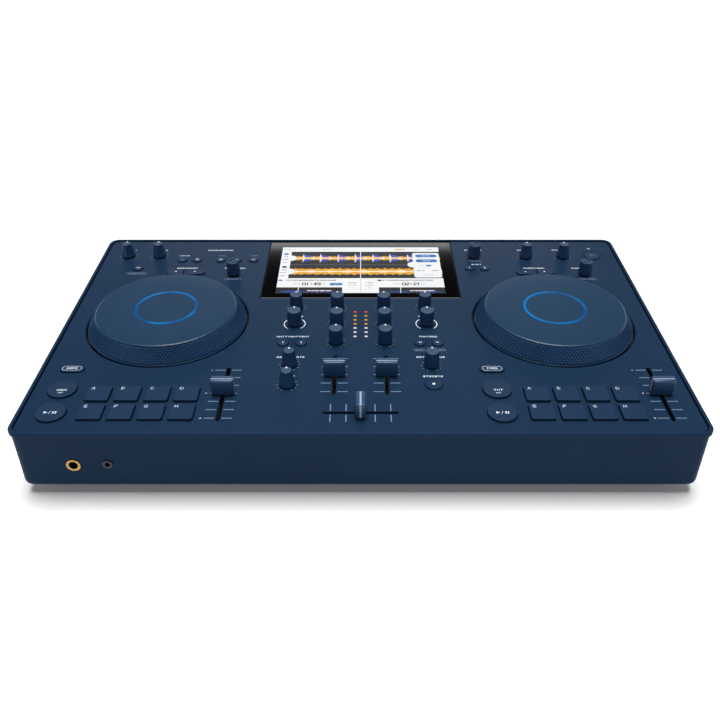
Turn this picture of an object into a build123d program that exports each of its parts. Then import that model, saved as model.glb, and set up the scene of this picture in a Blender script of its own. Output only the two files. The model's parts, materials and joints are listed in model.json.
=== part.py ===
"""Two-deck DJ controller with a built-in screen, as separate pieces in one frame.

Millimetres. The origin is the middle of the footprint on the plane of the feet, +Z is up,
-Y is the player's side, so the decks lie left (-X) and right (+X) of the mixer.
"""
import os
from build123d import *

# Case
case_w, case_d, case_r = 490.0, 296.0, 9.0
panel_z = 58.0               # top face of the control panel
panel_t = 2.0
lip_t = 3.2                  # height of the overhanging rim
seam = 1.2                   # shadow gap under the rim
rim_rise = 0.8               # height of the rim above the control panel
tub_inset, tub_side_inset = 2.6, 0.8  # overhang of the rim at front and back, and at the sides
tub_wall, tub_floor, tub_round = 2.4, 2.5, 6.0
foot_h, foot_r, foot_x, foot_y = 6.0, 9.0, 208.0, 114.0

# Heights shared by everything that stands on the control board
board_z, board_t = 44.4, 1.6
board_top = board_z + board_t
panel_bottom = panel_z - panel_t

# Jogs
jog_x, jog_y = 160.25, -1.3
jog_rise, jog_drop = 13.3, 3.0
jog_r, jog_top_r, jog_well_r = 65.2, 57.0, 66.4
spindle_r = 3.0
ring_in, ring_out = 23.6, 25.8

# Controls
knob_top, knob_gap = panel_z + 13.8, 1.0
shaft_r, running = 3.0, 0.04
key_travel = 0.8
deck_shift = 320.5           # the right deck repeats the left one this far away
mixer_x = 54.65
tone_x = 19.7
fader_cap = (16.4, 7.8)
pad_size, pad_pitch = 17.2, 21.6

# Base and top diameter of each kind of knob
knob_kinds = {
    "tapered": (12.4, 8.5),
    "trim": (11.4, 10.0),
    "tone": (11.6, 11.0),
    "filter": (12.2, 11.4),
    "depth": (11.9, 10.6),
    "selector": (12.2, 10.8),
}

# Name, kind and place of each knob
knobs = [
    ("mic_1_level_knob", "tapered", -220.0, 113.5),
    ("mic_2_level_knob", "tapered", -190.6, 113.5),
    ("booth_level_knob", "tapered", 156.6, 112.2),
    ("master_level_knob", "tapered", 191.4, 112.2),
    ("beat_loop_selector_left", "selector", -115.9, 78.4),
    ("browse_selector", "selector", 107.3, 112.0),
    ("beat_loop_selector_right", "selector", 204.8, 78.4),
    ("trim_knob_1", "trim", -mixer_x, 19.5),
    ("trim_knob_2", "trim", mixer_x, 19.5),
    ("filter_knob_1", "filter", -mixer_x, -6.0),
    ("filter_knob_2", "filter", mixer_x, -6.0),
    ("headphones_mix_knob", "tapered", -mixer_x, -64.6),
    ("headphones_level_knob", "tapered", -mixer_x, -90.5),
    ("effect_depth_knob", "depth", mixer_x, -65.4),
]
for channel, x in ((1, -tone_x), (2, tone_x)):
    for band, y in (("high", 19.0), ("mid", -6.7), ("low", -33.0)):
        knobs.append((f"eq_{band}_knob_{channel}", "tone", x, y))

# Name, slot centre, travel each way, slot length and width, direction of each fader
tempo_x = -100.6
faders = [
    ("channel_fader_1", -tone_x, -77.6, 22.5, 50.0, 3.2, "y"),
    ("channel_fader_2", tone_x, -77.6, 22.5, 50.0, 3.2, "y"),
    ("crossfader", 0.0, -123.7, 22.5, 54.4, 2.6, "x"),
    ("tempo_fader_left", tempo_x, -100.75, 30.0, 65.0, 3.2, "y"),
    ("tempo_fader_right", tempo_x + deck_shift, -100.75, 30.0, 65.0, 3.2, "y"),
]

# Front and rear sockets: x, height, radius of the opening, radius of the collar
phones_jacks = [("phones_6_35", -203.7, 28.2, 3.2, 5.0), ("phones_3_5", -179.3, 29.0, 1.8, 3.5)]
bay_x, bay_z0, bay_z1, bay_depth = 126.0, 15.0, 45.0, 8.0
mic_jack_x, mic_jack_z, mic_jack_r = (102.0, 78.0), 30.0, 3.2
rca_x, rca_z, rca_r = (46.0, 20.0), (23.0, 37.0), 4.15
usb_x = (-34.0, -58.0, -78.0)


def prism(sketch, z0, z1):
    """Extrude a sketch drawn on the XY plane from height z0 to height z1."""
    return extrude(Pos(0, 0, z0) * sketch, amount=z1 - z0)


def rod(x, y, r, z0, z1):
    """Upright cylinder."""
    return Pos(x, y, z0) * Cylinder(r, z1 - z0, align=(Align.CENTER, Align.CENTER, Align.MIN))


def block(x0, x1, y0, y1, z0, z1):
    """Box between two corners."""
    return Pos((x0 + x1) / 2, (y0 + y1) / 2, (z0 + z1) / 2) * Box(x1 - x0, y1 - y0, z1 - z0)


def barrel(x, z, r, y0, y1):
    """Cylinder lying along Y."""
    return Pos(x, (y0 + y1) / 2, z) * Rot(90, 0, 0) * Cylinder(r, y1 - y0)


def plan(inset, r):
    """Outline of the case, drawn in by an inset."""
    return RectangleRounded(case_w - 2 * inset, case_d - 2 * inset, r)


def tub_plan(depth, r):
    """Outline of the tub, drawn in by a depth from its outer faces."""
    width, length = case_w - 2 * tub_side_inset, case_d - 2 * tub_inset
    return RectangleRounded(width - 2 * depth, length - 2 * depth, r)


def top_edges(solid, z):
    """Edges that lie wholly at height z."""
    return solid.edges().filter_by_position(Axis.Z, z - 0.01, z + 0.01)


def disc(x, y, r):
    return Pos(x, y) * Circle(r)


def capsule(x, y, w, h):
    return Pos(x, y) * SlotOverall(w, h)


def half_capsule(x0, x1, y, h, round_left):
    """Key outline with one round end and one square end."""
    r = h / 2
    centre = x0 + r if round_left else x1 - r
    square = (centre, x1) if round_left else (x0, centre)
    body = Pos((square[0] + square[1]) / 2, y) * Rectangle(square[1] - square[0], h)
    return body + disc(centre, y, r)


def pad(x, y):
    return Pos(x, y) * RectangleRounded(pad_size, pad_size, 1.6)


def key_layout():
    """Node name -> (height above the panel, outlines of its keys)."""
    groups = {}
    rows = [(n, y) for y in (-102.9, -124.2) for n in range(4)]
    for side, shift in (("left", 0.0), ("right", deck_shift)):
        pads = [pad(-191.7 + shift + pad_pitch * n, y) for n, y in rows]
        groups[f"performance_pads_{side}"] = (2.0, pads)
        groups[f"cue_button_{side}"] = (1.8, [disc(-219.8 + shift, -97.1, 10.6)])
        groups[f"play_button_{side}"] = (1.8, [disc(-219.8 + shift, -124.6, 10.6)])
        groups[f"shift_button_{side}"] = (1.2, [capsule(-220.1 + shift, -70.9, 18.6, 8.6)])
        groups[f"beat_jump_keys_{side}"] = (1.2, [
            half_capsule(-177.6 + shift, -162.7 + shift, 81.5, 8.8, True),
            half_capsule(-158.2 + shift, -142.7 + shift, 81.5, 8.8, False)])
    source_row = [disc(x, 105.7, 4.3) for x in (-167.7, -153.6, -131.8, -116.3, -100.8)]
    groups["source_keys"] = (1.0, source_row + [disc(-205.6, 89.3, 4.3)])
    groups["load_keys"] = (1.0, [disc(x, 89.7, 4.3) for x in (100.8, 114.8)])
    groups["power_key"] = (0.6, [disc(219.9, 114.4, 7.1)])
    groups["cue_select_keys"] = (1.0, [disc(x, -34.8, 4.3) for x in (-62.1, -47.6)])
    groups["effect_keys"] = (1.0, [disc(47.4, -34.8, 4.3), disc(61.8, -34.8, 4.3), disc(54.5, -90.5, 6.3)])
    return groups


def meter_windows():
    return [(side * 4.5, 13.2 - 6.3 * n) for side in (-1, 1) for n in range(7)]


def screw_places():
    """Case screws: four along the front and the back, two on each side."""
    x_edge, y_edge = case_w / 2 - 9.4, case_d / 2 - 9.4
    inner_x = {-1: 92.0, 1: 150.0}  # the back pair stands clear of the socket bay
    along = [(x, side * y_edge) for side, mid in inner_x.items() for x in (-x_edge + 2, -mid, mid, x_edge - 2)]
    return along + [(side * x_edge, y) for side in (-1, 1) for y in (-46.0, 46.0)]


def board_posts():
    return [(x, y) for x in (-82.0, 82.0) for y in (26.0, -40.0, -118.0)] + \
           [(x, y) for x in (-228.0, 230.0) for y in (70.0, -60.0)]


def make_top_case():
    """Moulded rim: a lip over the tub, a ledge for the panel and a spigot inside the tub."""
    lip_z = panel_z - lip_t
    ledge_z = lip_z - seam
    rim_z = panel_z + rim_rise
    rim = prism(plan(0, case_r), lip_z, rim_z)
    rim = fillet(top_edges(rim, rim_z), 1.0)
    rim = fillet(top_edges(rim, lip_z), 0.5)
    rim += prism(plan(5.2, 5.0), ledge_z - 3.0, lip_z)
    rim -= prism(plan(2.8, 6.4), panel_bottom, rim_z)
    rim -= prism(plan(11.0, 4.0), ledge_z, panel_bottom)
    rim -= prism(plan(6.8, 4.0), ledge_z - 3.0, ledge_z)
    for x, y in screw_places():
        rim += rod(x, y, 3.6, 50.0, ledge_z)
        rim -= rod(x, y, 1.5, 50.0, 55.0)
    return rim


def make_top_panel():
    """Flat control panel with a hole for everything that comes up through it."""
    outline = plan(3.8, 5.6)
    notch_front, notch_half = 36.3, 87.7
    notch_back = case_d / 2
    outline -= Pos(0, (notch_front + notch_back) / 2) * Rectangle(2 * notch_half, notch_back - notch_front)
    wells = [disc(side * jog_x, jog_y, jog_well_r) for side in (-1, 1)]
    holes = [disc(x, y, 3.7) for _, _, x, y in knobs]
    for _, x, y, _, length, width, direction in faders:
        turn = 90 if direction == "y" else 0
        holes.append(Pos(x, y) * Rot(0, 0, turn) * SlotOverall(length, width))
    for _, outlines in key_layout().values():
        holes += [offset(key, 0.5, kind=Kind.ARC) for key in outlines]
    holes += [Pos(x, y) * Rectangle(2.9, 2.5) for x, y in meter_windows()]
    panel = prism(outline, panel_bottom, panel_z)
    panel = fillet(top_edges(panel, panel_z), 0.35)
    for well in wells:
        panel -= prism(well, panel_bottom, panel_z)
    rims = [e for e in top_edges(panel, panel_z) if e.geom_type == GeomType.CIRCLE and e.radius > 60]
    panel = chamfer(rims, 1.0)
    panel -= prism(Sketch() + holes, panel_bottom, panel_z)
    power_x, power_y = 219.9, 114.4
    panel -= prism(disc(power_x, power_y, 9.8) - disc(power_x, power_y, 9.2), panel_z - 0.5, panel_z)
    for x, y in board_posts():
        panel += rod(x, y, 3.2, board_top, panel_bottom)
        panel -= rod(x, y, 1.3, board_top, panel_bottom - 1.5)
    return panel


def make_bottom_case():
    """Deep tub with a rounded floor edge, a recessed rear socket bay and screw bosses."""
    top = panel_z - lip_t - seam
    inner = tub_inset + tub_wall
    tub = prism(tub_plan(0, 7.0), foot_h, top)
    tub = fillet(top_edges(tub, foot_h), tub_round)
    hollow = prism(tub_plan(tub_wall, 5.0), foot_h + tub_floor, top)
    hollow = fillet(top_edges(hollow, foot_h + tub_floor), 4.0)
    tub -= hollow
    back = case_d / 2 - tub_inset
    tub += block(-bay_x - 2, bay_x + 2, back - bay_depth - tub_wall, back - 1, bay_z0 - 2, bay_z1 + 2)
    tub -= block(-bay_x, bay_x, back - bay_depth, back + 1, bay_z0, bay_z1)
    for x, y in screw_places():
        tub += rod(x, y, 3.9, foot_h + tub_floor - 0.5, 49.8)
        tub -= rod(x, y, 1.7, foot_h, 49.8)
        tub -= rod(x, y, 3.1, foot_h, 12.0)
    for x, z, collar in [(x, z, collar) for _, x, z, _, collar in phones_jacks]:
        tub -= barrel(x, z, collar + 0.2, -case_d / 2, -case_d / 2 + inner + 1)
    bay_wall = (back - bay_depth - tub_wall - 1, back - bay_depth + 1)
    for x in mic_jack_x:
        tub -= barrel(x, mic_jack_z, 5.2, *bay_wall)
    for x in rca_x:
        for z in rca_z:
            tub -= barrel(x, z, rca_r + 0.4, *bay_wall)
    for x in usb_x:
        tub -= block(x - 7.0, x + 7.0, *bay_wall, 26.0, 34.0)
    for side in (-1, 1):
        for end in (-1, 1):
            tub -= rod(side * foot_x, end * foot_y, foot_r + 0.1, foot_h, foot_h + 1.0)
    vents = [Pos(side * 60 + 9 * n, -60) * SlotOverall(44, 2.4, rotation=90) for side in (-1, 1) for n in range(-3, 4)]
    tub -= prism(Sketch() + vents, foot_h, foot_h + tub_floor)
    return tub


def make_rubber_feet():
    feet = []
    for x in (-foot_x, foot_x):
        for y in (-foot_y, foot_y):
            foot = rod(x, y, foot_r, 0, foot_h + 1.0)
            feet.append(chamfer(top_edges(foot, 0), 1.0))
    return feet


def make_screws():
    """Self-tapping case screws, driven up from below, and the board's short screws."""
    screws = []
    for x, y in screw_places():
        screws.append(rod(x, y, 2.9, 9.8, 12.0) + rod(x, y, 1.45, 12.0, 54.5) - rod(x, y, 1.1, 9.8, 11.0))
    for x, y in board_posts():
        screws.append(rod(x, y, 2.8, board_z - 1.8, board_z) + rod(x, y, 1.25, board_z, panel_bottom - 2))
    return screws


def make_display_glass():
    glass = block(-87.1, 87.1, 36.9, 144.0, panel_bottom, panel_z - 0.4)
    return fillet(top_edges(glass, panel_z - 0.4), 0.3)


def make_lcd_module():
    """Backlit panel in its steel tray, under the cover glass."""
    tray = block(-82, 82, 40.5, 136.4, 51.0, panel_bottom)
    tray -= block(-78, 78, 43.0, 135.0, 54.0, panel_bottom)
    return [tray, block(-78, 78, 43.0, 135.0, 54.0, panel_bottom - 0.1)]


def make_control_board():
    """Board under the panel, with the tact switch of every key."""
    board = RectangleRounded(case_w - 30, case_d - 30, 4)
    for side in (-1, 1):
        board -= disc(side * jog_x, jog_y, 10.0)
    for x, y in board_posts():
        board -= disc(x, y, 1.6)
    switches = []
    for _, outlines in key_layout().values():
        for outline in outlines:
            spot = outline.center()
            body = block(spot.X - 3, spot.X + 3, spot.Y - 3, spot.Y + 3, board_top, board_top + 3.0)
            switches.append(body + rod(spot.X, spot.Y, 1.6, board_top + 3.0, board_top + 3.5))
    return [prism(board, board_z, board_top)] + switches


def make_main_board():
    """Processor, audio and power board on the tub's floor, with its heat spreader."""
    board = block(-130, 130, 20, 131, 13.0, 14.6)
    stand_offs = [rod(x, y, 3.0, foot_h + tub_floor, 13.0) for x in (-122, 0, 122) for y in (28, 122)]
    heat_sink = block(-80, -30, 50, 90, 14.6, 17.0)
    for n in range(9):
        heat_sink += block(-80 + 6 * n, -78 + 6 * n, 50, 90, 17.0, 27.0)
    chips = [block(x, x + 14, y, y + 14, 14.6, 16.2) for x, y in ((0, 60), (30, 60), (60, 66), (0, 95))]
    return [board, heat_sink] + stand_offs + chips


def make_battery_pack():
    """Eight cylindrical cells in a shrink-wrapped tray."""
    tray = block(-92, 92, -122, -84, foot_h + tub_floor, 11.0)
    cells = []
    for row in range(2):
        for n in range(4):
            x = -66 + 44 * n
            y = -112.5 + 19 * row
            cells.append(Pos(x, y, 20.4) * Rot(0, 90, 0) * Cylinder(9.2, 43.0))
    return [tray] + cells


def make_slide_potentiometers():
    bodies = []
    for _, x, y, travel, _, _, direction in faders:
        turn = Pos(x, y) * Rot(0, 0, 90 if direction == "y" else 0)
        body = turn * Rectangle(2 * travel + 16.0, 8.6)
        slot = turn * Rectangle(2 * travel + 6.0, 2.4)
        bodies.append(prism(body, board_top, 53.0) - prism(slot, board_top + 1.2, 53.0))
    return bodies


def make_rotary_potentiometers():
    """Potentiometer or encoder body with the threaded bush that guides the shaft."""
    bodies = []
    for _, _, x, y in knobs:
        body = block(x - 4.9, x + 4.9, y - 6.2, y + 5.0, board_top, 52.6)
        body += rod(x, y, 3.5 + 0.4, 52.6, 55.4)
        bodies.append(body - rod(x, y, shaft_r + running, board_top + 1.0, 55.4))
    return bodies


def make_meter_lenses():
    """Two clear light guides, each with seven windows flush with the panel."""
    guides = []
    for side in (-1, 1):
        guide = block(side * 4.5 - 2.2, side * 4.5 + 2.2, -27.2, 15.8, 54.0, panel_bottom)
        for x, y in meter_windows():
            if x * side > 0:
                guide += block(x - 1.4, x + 1.4, y - 1.2, y + 1.2, panel_bottom, panel_z + 0.05)
        guides.append(guide)
    return guides


def make_phones_jacks():
    jacks = []
    front = -case_d / 2 + tub_inset
    for _, x, z, r, collar in phones_jacks:
        half = collar + 3.0
        body = block(x - half, x + half, front + tub_wall, front + 28, z - half, z + half)
        body += barrel(x, z, collar, front - 0.8, front + tub_wall)
        jacks.append(body - barrel(x, z, r, front - 0.8, front + 24))
    return jacks


def make_rear_sockets():
    """Mic jacks, stacked phono sockets and USB ports, set in the rear bay."""
    wall = case_d / 2 - tub_inset - bay_depth
    inside = wall - tub_wall
    sockets = []
    for x in mic_jack_x:
        body = block(x - 8, x + 8, inside - 22, inside, mic_jack_z - 8, mic_jack_z + 8)
        body += barrel(x, mic_jack_z, 5.0, inside, wall + 2.5)
        sockets.append(body - barrel(x, mic_jack_z, mic_jack_r, inside - 20, wall + 2.5))
    for x in rca_x:
        body = block(x - 5.5, x + 5.5, inside - 12, inside, rca_z[0] - 7, rca_z[1] + 6)
        for z in rca_z:
            body += barrel(x, z, rca_r, inside, wall + 7.5)
            body -= barrel(x, z, 1.7, inside - 9, wall + 7.5)
        sockets.append(body)
    for x in usb_x:
        shell = block(x - 6.6, x + 6.6, inside - 14, wall + 0.4, 26.6, 33.4)
        shell -= block(x - 5.6, x + 5.6, inside - 12, wall + 0.4, 27.6, 32.4)
        sockets.append(shell + block(x - 4.5, x + 4.5, inside - 12, wall - 0.6, 29.2, 31.0))
    return sockets


def ring_profile(points):
    """Revolve a closed (radius, height) outline about Z."""
    return revolve(make_face(Plane.XZ * Polyline(*points, close=True)), Axis.Z)


def make_jog_housings():
    """Dish under each jog, with a central boss and its bronze bush."""
    pieces = []
    for side in (-1, 1):
        dish = ring_profile([
            (5.0, 43.6), (9.0, 43.6), (9.0, 48.0), (69.0, 48.0), (69.0, 54.0), (71.6, 54.0),
            (71.6, panel_bottom), (66.6, panel_bottom), (66.6, 50.0), (9.0, 50.0), (9.0, 52.0), (5.0, 52.0)])
        bush = ring_profile([
            (spindle_r + running, 43.6), (5.0, 43.6), (5.0, 52.0), (7.5, 52.0), (7.5, 52.6), (spindle_r + running, 52.6)])
        pieces += [Pos(side * jog_x, jog_y) * dish, Pos(side * jog_x, jog_y) * bush]
    return pieces


def make_jog_platter(side):
    """Cup-shaped platter with its steel spindle and the clip that keeps it in the bush."""
    top = panel_z + jog_rise
    bottom = panel_z - jog_drop
    cup = ring_profile([
        (spindle_r, 53.0), (8.0, 53.0), (8.0, top - 2.5), (jog_top_r - 2.9, top - 2.5), (jog_r - 2.5, panel_z),
        (jog_r - 2.5, bottom), (jog_r, bottom), (jog_r, panel_z), (jog_top_r, top - 0.5),
        (jog_top_r - 1.5, top), (ring_out, top), (ring_out, top - 1.5), (ring_in, top - 1.5),
        (ring_in, top), (0, top), (0, top - 1.4), (spindle_r, top - 1.4)])
    spindle = Cylinder(spindle_r, top - 1.4 - 41.6, align=(Align.CENTER, Align.CENTER, Align.MIN))
    clip = ring_profile([(spindle_r, 42.6), (5.5, 42.6), (5.5, 43.3), (spindle_r, 43.3)])
    place = Pos(side * jog_x, jog_y)
    return [place * cup, place * Pos(0, 0, 41.6) * spindle, place * clip]


def make_light_ring(side):
    top = panel_z + jog_rise
    ring = ring_profile([(ring_in, top - 1.5), (ring_out, top - 1.5), (ring_out, top), (ring_in, top)])
    return Pos(side * jog_x, jog_y) * ring


def make_knob(kind, x, y):
    """Push-on knob and the shaft that it turns."""
    base_d, top_d = knob_kinds[kind]
    bottom = panel_z + knob_gap
    outline = [(0, bottom), (base_d / 2, bottom), (base_d / 2, bottom + 1.0), (top_d / 2, knob_top - 0.4),
               (top_d / 2 - 0.4, knob_top), (0, knob_top)]
    body = Pos(x, y) * ring_profile(outline)
    if kind == "selector":
        lean = 45 if x < 0 else -45
        for side in (-1, 1):
            pocket = Rot(0, 0, lean) * Pos(0, side * 3.3) * SlotOverall(6.4, 2.6)
            body -= Pos(x, y) * prism(pocket, knob_top - 1.2, knob_top)
    else:
        body -= Pos(x, y + top_d / 2 - 1.2) * block(-0.5, 0.5, -0.7, 0.7, knob_top - 0.2, knob_top)
    body -= rod(x, y, shaft_r, bottom, knob_top - 3.5)
    return [body, rod(x, y, shaft_r, board_top + 1.4, knob_top - 3.5)]


def make_fader(x, y, direction):
    """Grooved cap on a thin steel lever."""
    length, width = fader_cap
    bottom, top = panel_z + 1.4, panel_z + 13.5
    cap = extrude(Pos(0, 0, bottom) * RectangleRounded(length, width, 1.4), amount=top - bottom, taper=2.2)
    cap -= Pos(0, 0, top) * Box(length + 2, 1.7, 1.4)
    cap -= block(-0.6, 0.6, -2.0, 2.0, bottom, top - 4.0)
    lever = block(-0.6, 0.6, -2.0, 2.0, board_top + 2.0, top - 4.0)
    turn = Pos(x, y) * Rot(0, 0, 90 if direction == "x" else 0)
    return [turn * cap, turn * lever]


def make_keys(rise, outlines):
    """Key caps kept under the panel by a flange, each with a stem over its switch."""
    keys = []
    for outline in outlines:
        spot = outline.center()
        top = panel_z + rise
        cap = prism(outline, panel_bottom - 1.0, top)
        cap = fillet(top_edges(cap, top), 0.4)
        cap += prism(offset(outline, 1.2, kind=Kind.ARC), panel_bottom - 1.4, panel_bottom - 0.4)
        cap += rod(spot.X, spot.Y, 1.5, board_top + 3.5 + key_travel + 0.1, panel_bottom - 1.0)
        keys.append(cap)
    return keys


def all_parts():
    """Node name -> solids."""
    parts = {
        "bottom_case": make_bottom_case(),
        "top_case": make_top_case(),
        "top_panel": make_top_panel(),
        "display_glass": make_display_glass(),
        "lcd_module": make_lcd_module(),
        "control_board": make_control_board(),
        "main_board": make_main_board(),
        "battery_pack": make_battery_pack(),
        "rubber_feet": make_rubber_feet(),
        "case_screws": make_screws(),
        "slide_potentiometers": make_slide_potentiometers(),
        "rotary_potentiometers": make_rotary_potentiometers(),
        "meter_lenses": make_meter_lenses(),
        "headphone_jacks": make_phones_jacks(),
        "rear_sockets": make_rear_sockets(),
        "jog_bearing_housings": make_jog_housings(),
    }
    for name, side in (("left", -1), ("right", 1)):
        parts[f"jog_platter_{name}"] = make_jog_platter(side)
        parts[f"jog_light_ring_{name}"] = make_light_ring(side)
    for name, kind, x, y in knobs:
        parts[name] = make_knob(kind, x, y)
    for name, x, y, _, _, _, direction in faders:
        parts[name] = make_fader(x, y, direction)
    for name, (rise, outlines) in key_layout().items():
        parts[name] = make_keys(rise, outlines)
    return parts


def main():
    os.makedirs("parts", exist_ok=True)
    for name, shape in all_parts().items():
        pieces = shape if isinstance(shape, list) else [shape]
        solids = [solid for piece in pieces for solid in piece.solids()]
        export_step(solids[0] if len(solids) == 1 else Compound(solids), f"parts/{name}.step")
        print(name, len(solids))


main()
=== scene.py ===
# Two-deck DJ controller: looks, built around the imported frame. Sizes below are in millimetres.
import bpy
import bmesh
import json
import math
import random
from mathutils import Matrix, Vector


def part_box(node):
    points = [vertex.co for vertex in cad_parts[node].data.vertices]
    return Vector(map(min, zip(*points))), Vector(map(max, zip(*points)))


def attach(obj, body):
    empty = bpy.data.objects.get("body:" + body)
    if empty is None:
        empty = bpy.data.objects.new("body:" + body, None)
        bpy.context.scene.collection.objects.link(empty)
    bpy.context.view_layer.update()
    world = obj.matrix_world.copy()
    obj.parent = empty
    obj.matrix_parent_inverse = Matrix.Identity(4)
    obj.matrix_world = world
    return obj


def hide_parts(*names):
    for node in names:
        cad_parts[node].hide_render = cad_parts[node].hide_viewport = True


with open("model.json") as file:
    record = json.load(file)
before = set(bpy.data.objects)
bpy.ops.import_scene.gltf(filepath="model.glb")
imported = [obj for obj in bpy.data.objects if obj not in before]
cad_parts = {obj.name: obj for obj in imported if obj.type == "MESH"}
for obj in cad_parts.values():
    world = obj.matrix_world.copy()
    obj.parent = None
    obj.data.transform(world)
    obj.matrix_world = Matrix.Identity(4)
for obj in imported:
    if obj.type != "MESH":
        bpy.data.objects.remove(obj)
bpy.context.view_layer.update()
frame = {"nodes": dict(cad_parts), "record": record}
nodes = frame["nodes"]
bodyOf = {node: body for body, held in frame["record"]["behaviour"]["bodies"].items() for node in held}
mm = 0.001
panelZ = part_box("display_glass")[1][2] / mm + 0.4  # the glass sits 0.4 below the panel
chassis = bodyOf["top_panel"]
dice = random.Random(7)
print("frame loaded:", len(nodes), "nodes")


# colour and nodes

def hexColour(code):
    parts = [int(code[n:n + 2], 16) / 255 for n in (1, 3, 5)]
    return tuple(c / 12.92 if c <= 0.04045 else ((c + 0.055) / 1.055) ** 2.4 for c in parts) + (1.0,)


def addNode(tree, kind, inputs=None, **settings):
    node = tree.nodes.new(kind)
    for name, value in settings.items():
        setattr(node, name, value)
    for name, value in (inputs or {}).items():
        if isinstance(value, bpy.types.NodeSocket):
            tree.links.new(value, node.inputs[name])
        else:
            node.inputs[name].default_value = value
    return node


def startMaterial(name, **shaderInputs):
    material = bpy.data.materials.new(name)
    material.use_nodes = True
    tree = material.node_tree
    tree.nodes.clear()
    settings = {name.replace("_", " "): value for name, value in shaderInputs.items()}
    shader = addNode(tree, "ShaderNodeBsdfPrincipled", settings)
    addNode(tree, "ShaderNodeOutputMaterial", {"Surface": shader.outputs[0]})
    return material, tree, shader


def twoTones(tree, pattern, low, high, start=0.3, end=0.7):
    # colour that runs from one tone to the other as the pattern goes from start to end
    share = addNode(tree, "ShaderNodeMapRange", {"Value": pattern, "From Min": start, "From Max": end})
    blend = addNode(tree, "ShaderNodeMix", {
        0: share.outputs["Result"], 6: hexColour(low), 7: hexColour(high)}, data_type="RGBA")
    return blend.outputs[2]


def grainy(name, look):
    # a moulded or painted skin: two close tones in slow clouds, a fine grain in the gloss and the bump
    material, tree, shader = startMaterial(
        name, IOR=look.get("ior", 1.5), Metallic=look.get("metallic", 0.0),
        Specular_IOR_Level=look.get("specular", 0.5), Coat_Weight=look.get("coat", 0.0),
        Coat_Roughness=look.get("coatRoughness", 0.1))
    place = addNode(tree, "ShaderNodeTexCoord").outputs["Object"]
    clouds = addNode(tree, "ShaderNodeTexNoise", {
        "Vector": place, "Scale": 1 / (look["cloud"] * mm), "Detail": 3.0, "Roughness": 0.55})
    grain = addNode(tree, "ShaderNodeTexNoise", {
        "Vector": place, "Scale": 1 / (look["grain"] * mm), "Detail": 2.0, "Roughness": 0.6})
    tone = twoTones(tree, clouds.outputs["Fac"], look["deep"], look["face"])
    tree.links.new(tone, shader.inputs["Base Color"])
    gloss = addNode(tree, "ShaderNodeMapRange", {
        "Value": grain.outputs["Fac"], "From Min": 0.25, "From Max": 0.75,
        "To Min": look["roughness"] - look["spread"], "To Max": look["roughness"] + look["spread"]})
    tree.links.new(gloss.outputs["Result"], shader.inputs["Roughness"])
    bump = addNode(tree, "ShaderNodeBump", {
        "Height": grain.outputs["Fac"], "Distance": look["bump"] * mm, "Strength": 0.6})
    tree.links.new(bump.outputs["Normal"], shader.inputs["Normal"])
    return material


def brushed(name, look):
    # machined metal: long fine scratches across one axis, in the gloss and the bump
    material, tree, shader = startMaterial(name, Metallic=1.0)
    place = addNode(tree, "ShaderNodeTexCoord").outputs["Object"]
    stretched = addNode(tree, "ShaderNodeMapping", {"Vector": place, "Scale": look["stretch"]})
    scratches = addNode(tree, "ShaderNodeTexNoise", {
        "Vector": stretched.outputs["Vector"], "Scale": 1 / (look["grain"] * mm), "Detail": 3.0})
    tone = twoTones(tree, scratches.outputs["Fac"], look["deep"], look["face"])
    tree.links.new(tone, shader.inputs["Base Color"])
    gloss = addNode(tree, "ShaderNodeMapRange", {
        "Value": scratches.outputs["Fac"],
        "To Min": look["roughness"] - 0.08, "To Max": look["roughness"] + 0.08})
    tree.links.new(gloss.outputs["Result"], shader.inputs["Roughness"])
    bump = addNode(tree, "ShaderNodeBump", {
        "Height": scratches.outputs["Fac"], "Distance": 0.01 * mm, "Strength": 0.4})
    tree.links.new(bump.outputs["Normal"], shader.inputs["Normal"])
    return material


def lit(name, look):
    # something that shines from inside: even colour with a slow change in brightness, under a glossy skin
    material, tree, shader = startMaterial(
        name, Roughness=look.get("roughness", 0.25), Emission_Strength=look["strength"])
    place = addNode(tree, "ShaderNodeTexCoord").outputs["Object"]
    patches = addNode(tree, "ShaderNodeTexNoise", {
        "Vector": place, "Scale": 1 / (look["patch"] * mm), "Detail": 1.0, "Roughness": 0.4})
    glow = twoTones(tree, patches.outputs["Fac"], look["dim"], look["bright"], 0.35, 0.65)
    tree.links.new(glow, shader.inputs["Emission Color"])
    shader.inputs["Base Color"].default_value = hexColour(look.get("body", "#040404"))
    shader.inputs["Specular IOR Level"].default_value = look.get("specular", 0.1)
    return material


# spark-eroded ABS of the case: very fine grain, soft wide highlights along the edges
caseAbs = grainy("spark eroded ABS", {
    "face": "#152c44", "deep": "#13283f", "roughness": 0.46, "spread": 0.07, "grain": 0.45, "bump": 0.015,
    "cloud": 60, "specular": 0.05})
# painted panel: smooth satin lacquer that turns paler where it mirrors the light at a low angle
panelLacquer = grainy("satin lacquered panel", {
    "face": "#162c44", "deep": "#142940", "roughness": 0.36, "spread": 0.04, "grain": 0.6, "bump": 0.006,
    "cloud": 80, "specular": 0.075})
# knob sides: dark moulded nylon, a little rough, with a soft sheen down the side that faces the light
knobNylon = grainy("moulded nylon knob", {
    "face": "#1d3a5c", "deep": "#1a3454", "roughness": 0.38, "spread": 0.05, "grain": 0.3, "bump": 0.008,
    "cloud": 12, "specular": 0.22})
# fader caps: the same nylon, glossier, so the bevels show as bright lines; its paler tone is a painted sheen
# that stands in for light on the cap faces
faderNylonPaintedSheen = grainy("moulded nylon fader cap with painted sheen", {
    "face": "#234163", "deep": "#203c5c", "roughness": 0.34, "spread": 0.04, "grain": 0.3, "bump": 0.006,
    "cloud": 12, "specular": 0.4})
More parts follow.
